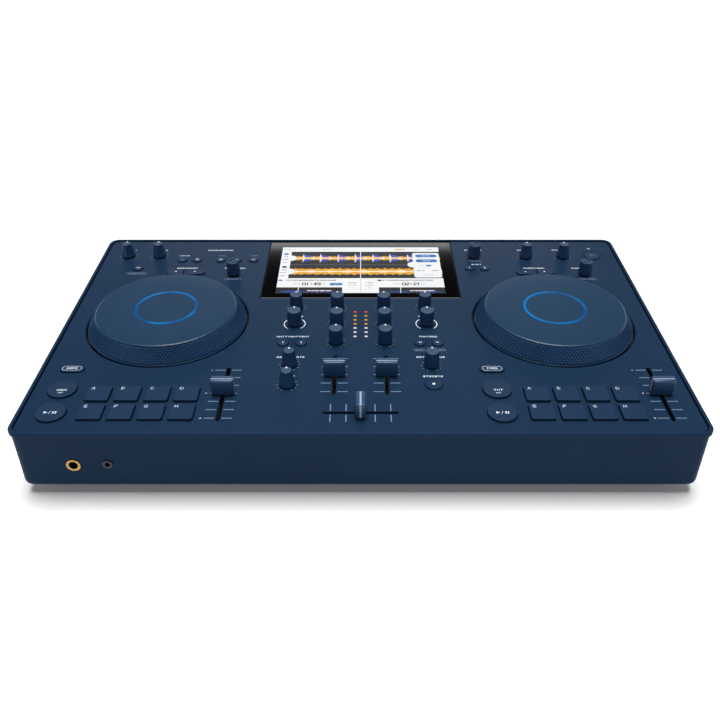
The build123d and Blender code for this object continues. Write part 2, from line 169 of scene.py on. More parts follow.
# knob tops: a paler tone than the sides, a painted highlight that stands in for the overhead light falling on
# the top face
knobTopPaintedHighlight = grainy("knob top painted highlight", {
    "face": "#294059", "deep": "#263c55", "roughness": 0.5, "spread": 0.05, "grain": 0.3, "bump": 0.008,
    "cloud": 10, "specular": 0.3})
# jog top: smooth moulded polycarbonate with an even satin sheen
jogPolycarbonate = grainy("satin polycarbonate jog", {
    "face": "#1a344d", "deep": "#183149", "roughness": 0.36, "spread": 0.04, "grain": 0.5, "bump": 0.006,
    "cloud": 70, "specular": 0.1})
# knurled skirt: the same plastic, a little glossier, so every point of the knurl has its own glint
jogKnurl = grainy("moulded knurled skirt", {
    "face": "#1f3d5f", "deep": "#1a3654", "roughness": 0.3, "spread": 0.05, "grain": 0.3, "bump": 0.006,
    "cloud": 40, "specular": 0.42})
# silicone of the pads: matt and slightly soft-looking
padSilicone = grainy("moulded silicone pad", {
    "face": "#172d48", "deep": "#152a44", "roughness": 0.55, "spread": 0.05, "grain": 0.35, "bump": 0.012,
    "cloud": 15, "specular": 0.08})
# key caps: moulded ABS, a touch smoother than the case
keyAbs = grainy("moulded ABS key", {
    "face": "#162d47", "deep": "#142a43", "roughness": 0.42, "spread": 0.05, "grain": 0.3, "bump": 0.008,
    "cloud": 9, "specular": 0.14})


def printInk(name, face, deep):
    # screen printed ink: flat, slightly uneven
    return grainy(name, {
        "face": face, "deep": deep, "roughness": 0.6, "spread": 0.05, "grain": 0.4, "bump": 0.004,
        "cloud": 3})


whiteInk = printInk("pale screen print ink", "#d3dce6", "#c2cedb")
tickInk = printInk("blue grey screen print ink", "#6f87a1", "#61788f")
faintInk = printInk("faint blue screen print ink", "#6d839c", "#627890")
# pale line let into each fader cap: satin acrylic, the brightest thing on the cap
whiteAcrylic = grainy("white acrylic inlay", {
    "face": "#98a4b2", "deep": "#8e9bab", "roughness": 0.45, "spread": 0.05, "grain": 0.3, "bump": 0.004,
    "cloud": 5})
# cover glass with a black print behind it: mirror-smooth, deep black
blackGlass = grainy("black backed cover glass", {
    "face": "#010102", "deep": "#010101", "roughness": 0.06, "spread": 0.01, "grain": 2.0, "bump": 0.001,
    "cloud": 60, "specular": 1.0})
# sockets, potentiometers and bearing housings: black moulded nylon with an uneven low gloss
blackNylon = grainy("black moulded nylon", {
    "face": "#16161a", "deep": "#101013", "roughness": 0.4, "spread": 0.08, "grain": 0.4, "bump": 0.01,
    "cloud": 12})
# rubber feet: dull and dusty
footRubber = grainy("moulded rubber foot", {
    "face": "#1a1a1b", "deep": "#121213", "roughness": 0.85, "spread": 0.06, "grain": 0.5, "bump": 0.05,
    "cloud": 6})
# shrink wrap of the battery: thin glossy film over the cells
shrinkWrap = grainy("blue shrink wrap film", {
    "face": "#1f4fa0", "deep": "#183f85", "roughness": 0.25, "spread": 0.06, "grain": 4.0, "bump": 0.1,
    "cloud": 20})
# tray behind the screen: pale metal with long fine scratches
trayAluminium = brushed("brushed aluminium tray", {
    "face": "#b9bcc0", "deep": "#9fa2a6", "roughness": 0.35, "grain": 0.4, "stretch": (0.05, 1.0, 1.0)})
# screws: dull grey plating with short scratches
screwSteel = brushed("zinc plated screw steel", {
    "face": "#8f9297", "deep": "#6f7277", "roughness": 0.35, "grain": 0.3, "stretch": (1.0, 1.0, 0.1)})
# turned brass of the large headphone socket: warm, with fine turning rings
turnedBrass = brushed("turned brass collar", {
    "face": "#c9a26a", "deep": "#9c7440", "roughness": 0.24, "grain": 0.15, "stretch": (0.1, 1.0, 0.1)})
# levers of the faders: ground steel with a tight bright grain
spindleSteel = brushed("ground spindle steel", {
    "face": "#a5a8ac", "deep": "#85888c", "roughness": 0.25, "grain": 0.2, "stretch": (1.0, 1.0, 0.1)})


def boardLacquer(name, look):
    # circuit board: green solder mask over copper tracks, and pale tinned pads
    material, tree, shader = startMaterial(name, Roughness=0.35, IOR=1.55, Coat_Weight=0.4)
    place = addNode(tree, "ShaderNodeTexCoord").outputs["Object"]
    tracks = addNode(tree, "ShaderNodeTexBrick", {
        "Vector": place, "Color1": hexColour(look["track"]), "Color2": hexColour(look["mask"]),
        "Mortar": hexColour(look["edge"]), "Scale": 1 / (look["pitch"] * mm), "Mortar Size": 0.03,
        "Brick Width": 1.7, "Row Height": 0.35})
    pads = addNode(tree, "ShaderNodeTexVoronoi", {"Vector": place, "Scale": 1 / (look["pad"] * mm)})
    spots = addNode(tree, "ShaderNodeMapRange", {
        "Value": pads.outputs["Distance"], "From Min": 0.13, "From Max": 0.16, "To Min": 1.0, "To Max": 0.0})
    mixed = addNode(tree, "ShaderNodeMix", {
        0: spots.outputs["Result"], 6: tracks.outputs["Color"], 7: hexColour(look["tin"])}, data_type="RGBA")
    tree.links.new(mixed.outputs[2], shader.inputs["Base Color"])
    return material


greenBoard = boardLacquer("green solder mask board", {
    "mask": "#0c3a22", "track": "#124a2c", "edge": "#0a2e1b", "tin": "#a9aca6", "pitch": 4.0, "pad": 6.0})

# light rings of the jogs: an even blue that is stronger in places
blueGlow = lit("blue light guide", {
    "bright": "#0078c4", "dim": "#00508f", "body": "#04142a", "strength": 1.0, "patch": 16})


def meterLens(colour, bright, dim):
    # small lit window in a warm grey body
    return lit(colour + " meter lens", {
        "bright": bright, "dim": dim, "body": "#3a2a20", "strength": 0.85, "patch": 3})


ledGlow = {
    "red": meterLens("red", "#ff5a50", "#f04840"),
    "amber": meterLens("amber", "#f2b62c", "#e2a01c"),
    "pale": meterLens("pale", "#f6f9ff", "#e4edf8")}
# picture of the screen: flat lit colours
screenTones = {
    "white": ("screen white", "#f7f8fa", "#f1f3f5", 40),
    "dark": ("screen charcoal", "#343639", "#2b2d30", 30),
    "blue": ("screen blue", "#3d7fc0", "#3773b2", 12),
    "deepBlue": ("screen wave blue", "#2f62e0", "#2754c8", 6),
    "orange": ("screen wave orange", "#efb03c", "#e29b28", 4),
    "cream": ("screen wave cream", "#fff1d6", "#f6e2bd", 4),
    "grey": ("screen grey text", "#85898f", "#767a80", 10),
    "ink": ("screen dark text", "#1e2024", "#17191c", 10)}
screenGlow = {
    tone: lit(name, {"bright": bright, "dim": dim, "strength": 1.0, "patch": patch})
    for tone, (name, bright, dim, patch) in screenTones.items()}
print("materials made")


# mesh helpers, all in millimetres

def vert(bm, x, y, z):
    return bm.verts.new((x * mm, y * mm, z * mm))


def addFace(bm, corners, slot=0):
    face = bm.faces.new(corners)
    face.material_index = slot
    return face


def slab(bm, outline, z0, z1, slot=0):
    # closed plate over an outline of (x, y) points that runs anticlockwise
    low = [vert(bm, x, y, z0) for x, y in outline]
    high = [vert(bm, x, y, z1) for x, y in outline]
    addFace(bm, high, slot)
    addFace(bm, low[::-1], slot)
    for n in range(len(outline)):
        m = (n + 1) % len(outline)
        addFace(bm, (low[n], low[m], high[m], high[n]), slot)


def band(bm, outer, inner, z0, z1, slot=0, closed=True):
    # plate between two outlines with the same number of points
    rows = [[vert(bm, x, y, z) for x, y in line] for z in (z0, z1) for line in (outer, inner)]
    lowOut, lowIn, highOut, highIn = rows
    count = len(outer)
    for n in range(count if closed else count - 1):
        m = (n + 1) % count
        addFace(bm, (highOut[n], highOut[m], highIn[m], highIn[n]), slot)
        addFace(bm, (lowOut[m], lowOut[n], lowIn[n], lowIn[m]), slot)
        addFace(bm, (lowOut[n], lowOut[m], highOut[m], highOut[n]), slot)
        addFace(bm, (lowIn[m], lowIn[n], highIn[n], highIn[m]), slot)
    if not closed:
        addFace(bm, (lowOut[0], highOut[0], highIn[0], lowIn[0]), slot)
        addFace(bm, (lowIn[-1], highIn[-1], highOut[-1], lowOut[-1]), slot)


def roundedRect(x, y, w, h, r, steps=5):
    points = []
    for cornerX, cornerY, start in ((1, 1, 0), (-1, 1, 90), (-1, -1, 180), (1, -1, 270)):
        for n in range(steps + 1):
            a = math.radians(start + 90 * n / steps)
            middleX, middleY = x + cornerX * (w / 2 - r), y + cornerY * (h / 2 - r)
            points.append((middleX + r * math.cos(a), middleY + r * math.sin(a)))
    return points


def rect(x0, x1, y0, y1):
    return [(x0, y0), (x1, y0), (x1, y1), (x0, y1)]


def arcPoints(x, y, r, start, end, steps):
    # angles in degrees, anticlockwise, 0 towards +X
    angles = [math.radians(start + (end - start) * n / steps) for n in range(steps + 1)]
    return [(x + r * math.cos(a), y + r * math.sin(a)) for a in angles]


def stroke(bm, x0, y0, x1, y1, width, z0, z1, slot=0):
    along = Vector((x1 - x0, y1 - y0))
    side = Vector((-along.y, along.x)).normalized() * width / 2
    along = along.normalized() * width / 2
    a, b = Vector((x0, y0)) - along, Vector((x1, y1)) + along
    slab(bm, [tuple(a - side), tuple(b - side), tuple(b + side), tuple(a + side)], z0, z1, slot)


def lathe(bm, centre, profile, segments, shape=None, slots=None, turn=None):
    # profile is (radius, height) from the lowest middle point outwards and up to the top middle point
    rings = []
    for row, (r, z) in enumerate(profile):
        ring = []
        for n in range(segments if r > 0 else 1):
            a = 2 * math.pi * n / segments
            reach, height = shape(a, r, z, n, row) if shape else (r, z)
            spot = Vector((reach * math.cos(a), reach * math.sin(a), height))
            spot = (turn @ spot if turn else spot) + Vector(centre)
            ring.append(vert(bm, *spot))
        rings.append(ring)
    for row, (low, high) in enumerate(zip(rings, rings[1:])):
        slot = slots[row] if slots else 0
        for n in range(segments):
            m = (n + 1) % segments
            if len(low) == 1:
                addFace(bm, (low[0], high[m], high[n]), slot)
            elif len(high) == 1:
                addFace(bm, (low[n], low[m], high[0]), slot)
            else:
                addFace(bm, (low[n], low[m], high[m], high[n]), slot)
    return rings


def finishPiece(name, bm, materials, body, replaced=(), angle=32):
    bmesh.ops.recalc_face_normals(bm, faces=bm.faces)
    mesh = bpy.data.meshes.new(name)
    bm.to_mesh(mesh)
    bm.free()
    for material in materials:
        mesh.materials.append(material)
    mesh.shade_smooth()
    mesh.set_sharp_from_angle(angle=math.radians(angle))
    piece = bpy.data.objects.new(name, mesh)
    bpy.context.collection.objects.link(piece)
    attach(piece, body)
    if replaced:
        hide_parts(*replaced)
    return piece


def middle(node):
    low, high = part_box(node)
    return (low[0] + high[0]) / 2 / mm, (low[1] + high[1]) / 2 / mm


def solidBoxes(node):
    # lowest and highest corner of each separate solid, back row first, left to right
    bm = bmesh.new()
    bm.from_mesh(nodes[node].data)
    bmesh.ops.remove_doubles(bm, verts=bm.verts, dist=1e-6)
    left, boxes = set(bm.verts), []
    while left:
        seen, queue = set(), [left.pop()]
        while queue:
            v = queue.pop()
            seen.add(v)
            for edge in v.link_edges:
                other = edge.other_vert(v)
                if other in left:
                    left.discard(other)
                    queue.append(other)
        low = [min(v.co[k] for v in seen) / mm for k in range(3)]
        high = [max(v.co[k] for v in seen) / mm for k in range(3)]
        boxes.append((low, high))
    bm.free()
    return sorted(boxes, key=lambda b: (-round(b[0][1] / 4), b[0][0]))


def keyTops(node):
    # (x, y, top) of each key of a node
    return [((a[0] + b[0]) / 2, (a[1] + b[1]) / 2, b[2]) for a, b in solidBoxes(node)]


def dress(node, *materials):
    held = nodes[node].data.materials
    held.clear()
    for material in materials:
        held.append(material)


# CAD nodes that keep their shape

plainFinish = {
    "bottom_case": caseAbs, "top_case": caseAbs, "top_panel": panelLacquer, "display_glass": blackGlass,
    "lcd_module": trayAluminium, "control_board": greenBoard, "main_board": greenBoard,
    "battery_pack": shrinkWrap, "rubber_feet": footRubber, "case_screws": screwSteel,
    "slide_potentiometers": blackNylon, "rotary_potentiometers": blackNylon,
    "headphone_jacks": blackNylon, "rear_sockets": blackNylon, "jog_bearing_housings": blackNylon,
    "jog_light_ring_left": blueGlow, "jog_light_ring_right": blueGlow}
for node, material in plainFinish.items():
    dress(node, material)
for node in nodes:
    if node.endswith(("_keys", "_key", "_keys_left", "_keys_right")) or "_button_" in node:
        dress(node, keyAbs)
    elif node.startswith("performance_pads"):
        dress(node, padSilicone)
print("frame dressed")


# jog wheels

jog = {"segments": 300, "rows": 8, "pointHeight": 1.2, "pointRoot": 1.1, "skirtLow": 57.9, "skirtHigh": 70.2,
       "baseRadius": 65.2, "topRadius": 57.0, "ringWidth": 2.2, "ringDepth": 1.5}


def makeJog(side):
    node = "jog_platter_" + side
    x, y = middle(node)
    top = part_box(node)[1][2] / mm
    ringLow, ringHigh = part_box("jog_light_ring_" + side)
    ringOut = (ringHigh[0] - ringLow[0]) / 2 / mm
    ringIn = ringOut - jog["ringWidth"]
    ringFloor = top - jog["ringDepth"]
    slope = (jog["baseRadius"] - jog["topRadius"]) / (top - 0.5 - panelZ)
    skirt = []
    for row in range(jog["rows"] + 1):
        z = jog["skirtLow"] + (jog["skirtHigh"] - jog["skirtLow"]) * row / jog["rows"]
        radius = min(jog["baseRadius"], jog["baseRadius"] - (z - panelZ) * slope)
        skirt.append((radius - jog["pointRoot"], z))
    under = [(0, 41.6), (2.9, 41.6), (2.9, 53.0), (8, 53.0), (8, top - 2.5), (54.1, top - 2.5),
             (62.7, panelZ), (62.7, 55.0), (64.6, 55.0), (64.6, 57.5)]
    over = [(57.0, top - 0.95), (56.95, top - 0.7), (56.3, top - 0.2), (55.9, top - 0.04), (55.5, top),
            (40, top), (ringOut + 0.25, top), (ringOut, top - 0.15), (ringOut, ringFloor),
            (ringIn, ringFloor), (ringIn, top - 0.15), (ringIn - 0.25, top), (10, top), (0, top)]
    first = len(under)
    last = first + len(skirt) - 1

    def knurl(angle, r, z, n, row):
        raised = first < row < last and (n + row) % 2 == 0
        return (r + jog["pointHeight"], z) if raised else (r, z)

    profile = under + skirt + over
    slots = [1] * (last + 3) + [0] * (len(profile) - last - 4)
    bm = bmesh.new()
    rings = lathe(bm, (x, y, 0), profile, jog["segments"], knurl, slots)
    # every knurl quad is split between its two low corners, so each raised point is a small pyramid
    lows, knurled = set(), set()
    for row in range(first, last + 1):
        knurled.update(rings[row])
        lows.update(v for n, v in enumerate(rings[row]) if (n + row) % 2 or row in (first, last))
    for face in [f for f in bm.faces if all(v in knurled for v in f.verts)]:
        corners = [v for v in face.verts if v in lows]
        low = []
        for v in corners:
            beside = [e.other_vert(v) for e in v.link_edges if e in face.edges]
            if not any(other in corners for other in beside):
                low.append(v)
        if len(low) == 2:
            bmesh.utils.face_split(face, low[0], low[1])
    finishPiece(node + "_shell", bm, [jogPolycarbonate, jogKnurl], bodyOf[node], [node], 24)


for side in ("left", "right"):
    makeJog(side)
print("jogs made")


# knobs

knobShapes = {
    "tapered": {"base": 12.4, "top": 8.6, "flutes": 8, "depth": 0.5},
    "trim": {"base": 11.4, "top": 10.0, "flutes": 12, "depth": 0.12},
    "tone": {"base": 11.6, "top": 11.0, "flutes": 12, "depth": 0.1},
    "filter": {"base": 12.2, "top": 11.4, "flutes": 12, "depth": 0.12},
    "depth": {"base": 11.9, "top": 10.6, "flutes": 12, "depth": 0.15},
    "selector": {"base": 12.2, "top": 10.8, "flutes": 24, "depth": 0.12}}
knobKinds = {
    "mic_1_level_knob": "tapered", "mic_2_level_knob": "tapered", "booth_level_knob": "tapered",
    "master_level_knob": "tapered", "headphones_mix_knob": "tapered", "headphones_level_knob": "tapered",
    "trim_knob_1": "trim", "trim_knob_2": "trim", "filter_knob_1": "filter", "filter_knob_2": "filter",
    "effect_depth_knob": "depth", "beat_loop_selector_left": "selector",
    "beat_loop_selector_right": "selector", "browse_selector": "selector"}
knobKinds.update({f"eq_{part}_knob_{n}": "tone" for part in ("high", "mid", "low") for n in (1, 2)})


def smooth(low, high, value):
    t = min(1.0, max(0.0, (value - low) / (high - low)))
    return t * t * (3 - 2 * t)


def makeKnob(node, kind):
    look = knobShapes[kind]
    x, y = middle(node)
    foot, top = panelZ + 1.0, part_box(node)[1][2] / mm - 0.06
    base, crown = look["base"] / 2, look["top"] / 2
    waist = foot + 2.0 if kind == "selector" else foot + 1.1
    shaftEnd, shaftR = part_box(node)[0][2] / mm, 2.95
    stem = [(0, shaftEnd), (shaftR, shaftEnd), (shaftR, foot + 1.2), (base - 1.2, foot + 1.2)]
    if kind == "selector":  # dark undercut under a thin skirt
        side = [(base - 1.3, foot), (base - 0.9, foot), (base - 0.9, foot + 1.2), (base - 0.25, foot + 1.35),
                (base, foot + 1.6), (base, waist + 0.6)]
    else:
        side = [(base - 0.9, foot), (base - 0.3, foot), (base, foot + 0.3), (base, waist)]
    climb = [(base + (crown - base) * t, waist + (top - 0.9 - waist) * t)
             for t in (0.15, 0.35, 0.6, 0.85, 1.0)]
    rim = [(crown - 0.05, top - 0.55), (crown - 0.2, top - 0.2), (crown - 0.5, top - 0.03),
           (crown - 0.9, top)]
    face = [((crown - 1.2) * t, top) for t in (1.0, 0.9, 0.8, 0.7, 0.6, 0.5, 0.4, 0.3, 0.2, 0.1)] + [(0, top)]
    profile = stem + side + climb + rim + face
    firstClimb = len(stem) + len(side)
    lean = math.radians(45 if x < 0 else -45)

    def shape(angle, r, z, n, row):
        if firstClimb <= row < firstClimb + len(climb) + 1:
            fade = smooth(waist, waist + 1.5, z) * (1 - smooth(top - 1.6, top - 0.5, z))
            return r - look["depth"] * fade * (0.5 + 0.5 * math.cos(look["flutes"] * angle + math.pi)), z
        if row >= firstClimb + len(climb) + len(rim):
            if kind == "selector":  # two scooped pockets beside a bar
                across = abs(-r * math.cos(angle) * math.sin(lean) + r * math.sin(angle) * math.cos(lean))
                scoop = smooth(1.05, 1.75, across) * (1 - smooth(crown - 1.6, crown - 1.1, r))
                return r, z - 1.3 * scoop
            return r, z - 0.22 * (1 - (r / crown) ** 2)
        return r, z

    capRow = firstClimb + len(climb) + len(rim) - 2
    slots = [0] * capRow + [1] * (len(profile) - 1 - capRow)
    bm = bmesh.new()
    lathe(bm, (x, y, 0), profile, 96 if kind != "selector" else 72, shape, slots)
    if kind != "selector":  # pointer line on the back of the top face and down the side
        slab(bm, rect(x - 0.6, x + 0.6, y + crown - 2.3, y + crown - 0.55), top - 0.4, top + 0.05, 2)
        slab(bm, rect(x - 0.5, x + 0.5, y + crown - 0.8, y + crown - 0.05), top - 4.0, top - 0.35, 2)
    # the rim and top face take the paler tone, a painted highlight for the overhead light
    skins = [knobNylon, knobTopPaintedHighlight, whiteInk]
    finishPiece(node + "_cap", bm, skins, bodyOf[node], [node], 40)


for node, kind in knobKinds.items():
    makeKnob(node, kind)
print("knobs made:", len(knobKinds))


# faders

fader = {"length": 16.4, "width": 7.8, "topWidth": 7.0, "grooveHalf": 0.85, "grooveDepth": 0.75,
         "inlayHalf": 0.68}


def makeFader(node):
    low, high = [[c / mm for c in corner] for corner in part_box(node)]
    x, y = (low[0] + high[0]) / 2, (low[1] + high[1]) / 2
    across = high[1] - low[1] > high[0] - low[0]  # the crossfader's cap lies the other way
    foot, top = panelZ + 1.4, high[2]
    half, groove, deep = fader["length"] / 2, fader["grooveHalf"], fader["grooveDepth"]

    def section(reach, narrow, drop):
        w, t = fader["width"] / 2 - narrow, fader["topWidth"] / 2 - narrow
        crest = top - drop
        right = [(w - 0.2, foot), (w, foot + 0.3), (t + 0.05, crest - 1.0), (t - 0.15, crest - 0.35),
                 (t - 0.7, crest), (groove, crest), (groove - 0.05, top - deep)]
        points = right + [(-s, z) for s, z in right[::-1]]
        return [(reach, s, z) for s, z in points]

    stations = [(-half, 0.9, 0.55), (-half + 0.18, 0.5, 0.25), (-half + 0.55, 0.2, 0.08),
                (-half + 1.1, 0.0, 0.0)]
    stations += [(-s, narrow, drop) for s, narrow, drop in stations[::-1]]
    bm = bmesh.new()

    def put(u, v, z):
        return vert(bm, x + (v if across else u), y + (u if across else v), z)

    rings = [[put(*p) for p in section(*s)] for s in stations]
    for a, b in zip(rings, rings[1:]):
        for n in range(len(a)):
            m = (n + 1) % len(a)
            addFace(bm, (a[n], a[m], b[m], b[n]))
    addFace(bm, rings[0])
    addFace(bm, rings[-1][::-1])

    def brick(u0, u1, v0, v1, z0, z1, slot):
        corners = rect(x + v0, x + v1, y + u0, y + u1) if across else rect(x + u0, x + u1, y + v0, y + v1)
        slab(bm, corners, z0, z1, slot)

    inlay = fader["inlayHalf"]
    brick(-half + 0.3, half - 0.3, -inlay, inlay, top - deep - 0.2, top - deep + 0.35, 1)
    for end in (-1, 1):  # the pale line runs down both ends
        near, far = sorted((end * (half - 0.5), end * (half + 0.05)))
        brick(near, far, -inlay, inlay, foot + 0.8, top - deep - 0.1, 1)
    thin, wide = 0.6, 2.0
    brick(-thin, thin, -wide, wide, low[2], foot + 2.0, 2)
    # the cap body is the nylon with a paler tone, a painted sheen for light on its faces
    skins = [faderNylonPaintedSheen, whiteAcrylic, spindleSteel]
    finishPiece(node + "_cap", bm, skins, bodyOf[node], [node], 40)


faderNodes = ["channel_fader_1", "channel_fader_2", "crossfader", "tempo_fader_left", "tempo_fader_right"]
for node in faderNodes:
    makeFader(node)
print("faders made")


# level meter lenses

meter = {"rows": 7, "pitch": 6.3, "width": 2.4, "height": 1.9, "apart": 4.5,
         "colours": ["red"] + ["amber"] * 3 + ["pale"] * 3}
bm = bmesh.new()
lensLow, lensHigh = [[c / mm for c in corner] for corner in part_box("meter_lenses")]
lensBack = lensHigh[1] - 2.6
order = ["red", "amber", "pale"]
for side in (-1, 1):
    x, length = side * meter["apart"], lensHigh[1] - lensLow[1] - 0.4
    strip = roundedRect(x, (lensLow[1] + lensHigh[1]) / 2, 4.2, length, 0.5)
    slab(bm, strip, lensLow[2] + 0.05, panelZ - 2.1, 3)
    for row in range(meter["rows"]):
        y, colour = lensBack - meter["pitch"] * row, order.index(meter["colours"][row])
        outline = roundedRect(x, y, meter["width"], meter["height"], 0.35, 3)
        slab(bm, outline, panelZ - 2.15, panelZ - 0.05, colour)
        crown = roundedRect(x, y, meter["width"] - 0.3, meter["height"] - 0.3, 0.35, 3)
        slab(bm, crown, panelZ - 0.06, panelZ + 0.04, colour)
skins = [ledGlow[colour] for colour in order] + [whiteAcrylic]
finishPiece("meter_light_guides", bm, skins, chassis, ["meter_lenses"])


# headphone socket collars

def collar(name, box, inner, outer, material):
    low, high = box
    x, z, front = (low[0] + high[0]) / 2, (low[2] + high[2]) / 2, low[1]
    deep = 9.0
    profile = [(outer - 0.6, -0.9), (outer, -0.9), (outer, 0.05), (outer - 0.35, 0.18), (inner + 0.35, 0.18),
               (inner - 0.02, 0.0), (inner - 0.1, -1.2), (inner - 0.1, -deep), (inner + 0.3, -deep),
               (outer - 0.6, -0.9)]
    bm = bmesh.new()
    lathe(bm, (x, front - 0.02, z), profile, 64, turn=Matrix.Rotation(math.radians(90), 3, "X"))
    bmesh.ops.remove_doubles(bm, verts=bm.verts, dist=1e-7)
    finishPiece(name, bm, [material], chassis)


bigJack, smallJack = sorted(solidBoxes("headphone_jacks"), key=lambda b: b[0][0])
collar("headphone_collar_6_35", bigJack, 3.3, 5.12, turnedBrass)
collar("headphone_collar_3_5", smallJack, 1.9, 3.62, blackNylon)


# printed marks

inkLayer = (panelZ - 0.01, panelZ + 0.03)
glyphStrokes = {
    "A": [[(0, 0), (1.5, 6), (2.5, 6), (4, 0)], [(0.7, 2.2), (3.3, 2.2)]],
    "B": [[(0, 0), (0, 6), (3.2, 6), (4, 5.2), (4, 3.9), (3.2, 3.1), (0, 3.1)],
          [(3.2, 3.1), (4, 2.3), (4, 0.8), (3.2, 0), (0, 0)]],
    "C": [[(4, 5), (3, 6), (1, 6), (0, 5), (0, 1), (1, 0), (3, 0), (4, 1)]],
    "D": [[(0, 0), (0, 6), (2.8, 6), (4, 4.8), (4, 1.2), (2.8, 0), (0, 0)]],
    "E": [[(4, 6), (0, 6), (0, 0), (4, 0)], [(0, 3.1), (3.2, 3.1)]],
    "F": [[(4, 6), (0, 6), (0, 0)], [(0, 3.1), (3.2, 3.1)]],
    "G": [[(4, 5), (3, 6), (1, 6), (0, 5), (0, 1), (1, 0), (4, 0), (4, 2.8), (2.4, 2.8)]],
    "H": [[(0, 0), (0, 6)], [(4, 0), (4, 6)], [(0, 3.1), (4, 3.1)]],
    "0": [[(1, 0), (3, 0), (4, 1), (4, 5), (3, 6), (1, 6), (0, 5), (0, 1), (1, 0)]],
    "1": [[(0.8, 4.8), (2.2, 6), (2.2, 0)]],
    "2": [[(0, 5), (1, 6), (3, 6), (4, 5), (4, 4), (0, 0), (4, 0)]],
    "4": [[(3, 0), (3, 6), (0, 2), (4, 2)]],
    "9": [[(1, 0), (3, 0), (4, 1), (4, 5), (3, 6), (1, 6), (0, 5), (0, 4), (1, 3), (4, 3)]],
    "-": [[(0, 3), (4, 3)]],
    "+": [[(0, 3), (4, 3)], [(2, 1), (2, 5)]],
    ":": [[(2, 1.4), (2, 1.8)], [(2, 4.2), (2, 4.6)]]}


def glyph(bm, mark, x, y, height, z0, z1, width=0.32, slot=0, wide=1.0):
    scale = height / 6
    for line in glyphStrokes[mark]:
        for (ax, ay), (bx, by) in zip(line, line[1:]):
            stroke(bm, x + (ax - 2) * scale * wide, y + (ay - 3) * scale, x + (bx - 2) * scale * wide,
                   y + (by - 3) * scale, width, z0, z1, slot)


def blankWord(bm, x, y, width, height, z0, z1, slot=0, pitch=2.3):
    # a row of small plain blocks and frames that fills the place of a word
    count = max(2, round(width / pitch))
    step = width / count
    letter = step * 0.78
    line = min(0.42, height * 0.24)
    for n in range(count):
        cx = x - width / 2 + step * (n + 0.5)
        kind = dice.randrange(4)
        if kind == 0:
            outer = roundedRect(cx, y, letter, height, line, 2)
            inner = roundedRect(cx, y, letter - 2 * line, height - 2 * line, 0.05, 2)
            band(bm, outer, inner, z0, z1, slot)
        elif kind == 1:
            for side in (-1, 1):
                x0, x1 = sorted((cx + side * letter / 2, cx + side * (letter / 2 - line * 1.2)))
                slab(bm, rect(x0, x1, y - height / 2, y + height / 2), z0, z1, slot)
        elif kind == 2:
            for level in (-1, 0, 1):
                mid = y + level * (height - line) / 2
                slab(bm, rect(cx - letter / 2, cx + letter / 2, mid - line / 2, mid + line / 2), z0, z1, slot)
        else:
            front, back = y - height / 2, y + height / 2
            slab(bm, rect(cx - letter / 2, cx + letter / 2, back - line, back), z0, z1, slot)
            slab(bm, rect(cx - line / 2, cx + line / 2, front, back - line), z0, z1, slot)


def outlineCapsule(bm, x, y, w, h, line, z0, z1, slot=0):
    inner = roundedRect(x, y, w - 2 * line, h - 2 * line, h / 2 - line, 6)
    band(bm, roundedRect(x, y, w, h, h / 2, 6), inner, z0, z1, slot)


def triangle(bm, x, y, size, towards, z0, z1, slot=0):
    tip, back = x + towards * size / 2, x - towards * size / 2
    points = [(tip, y), (back, y + size * 0.45), (back, y - size * 0.45)]
    slab(bm, points if towards < 0 else points[::-1], z0, z1, slot)


# label places: node, how far right and back of its middle, width
labels = [
    ("mic_1_level_knob", -1.6, 12.3, 7.0), ("mic_2_level_knob", -1.8, 12.3, 7.0),
    ("booth_level_knob", 0.0, 14.0, 12.6), ("master_level_knob", 0.0, 14.0, 15.6),
    ("browse_selector", 0.7, 14.1, 17.0), ("beat_loop_selector_left", -0.2, 11.6, 19.6),
    ("beat_loop_selector_right", 0.0, 11.6, 19.6), ("power_key", 0.1, 14.8, 3.2),
    ("filter_knob_1", 0.0, 11.6, 13.0), ("filter_knob_2", 0.0, 11.6, 13.0),
    ("trim_knob_1", 0.0, 11.4, 9.0), ("trim_knob_2", 0.0, 11.4, 9.0),
    ("headphones_mix_knob", 0.0, 10.3, 22.2), ("headphones_level_knob", 0.0, 10.7, 10.4),
    ("effect_depth_knob", 0.0, 11.1, 22.6), ("cue_select_keys", 0.1, 9.6, 26.8),
    ("load_keys", 0.3, 7.6, 9.6), ("beat_jump_keys_left", 0.0, 8.6, 19.8),
    ("beat_jump_keys_right", 0.0, 8.6, 19.8)]
for part, width in (("high", 5.0), ("mid", 5.6), ("low", 6.2)):
    labels += [(f"eq_{part}_knob_{n}", 0.0, 11.4, width) for n in (1, 2)]
capsules = [  # the same, for outlined labels
    ("browse_selector", 0.4, -7.4, 11.2), ("beat_loop_selector_left", -0.1, -8.5, 15.0),
    ("beat_loop_selector_right", 1.1, -8.5, 15.0)]

white = bmesh.new()
for node, right, back, width in labels:
    x, y = middle(node)
    blankWord(white, x + right, y + back, width, 1.9, *inkLayer)
faint = bmesh.new()
for node, right, back, width in capsules:
    x, y = middle(node)
    outlineCapsule(faint, x + right, y + back, width, 3.4, 0.3, *inkLayer)
    blankWord(faint, x + right, y + back, width - 4.5, 1.5, *inkLayer, pitch=1.9)
micKey = keyTops("source_keys")[-1]
outlineCapsule(faint, micKey[0] + 0.1, micKey[1] - 9.3, 18.6, 3.6, 0.3, *inkLayer)
blankWord(faint, micKey[0] + 0.1, micKey[1] - 9.3, 14.0, 1.5, *inkLayer, pitch=1.9)
for node, mark, right in (("mic_1_level_knob", "1", 4.1), ("mic_2_level_knob", "2", 4.2)):
    x, y = middle(node)
    glyph(white, mark, x + right, y + 12.3, 2.0, *inkLayer)
sourceKeys = sorted(keyTops("source_keys")[:-1])
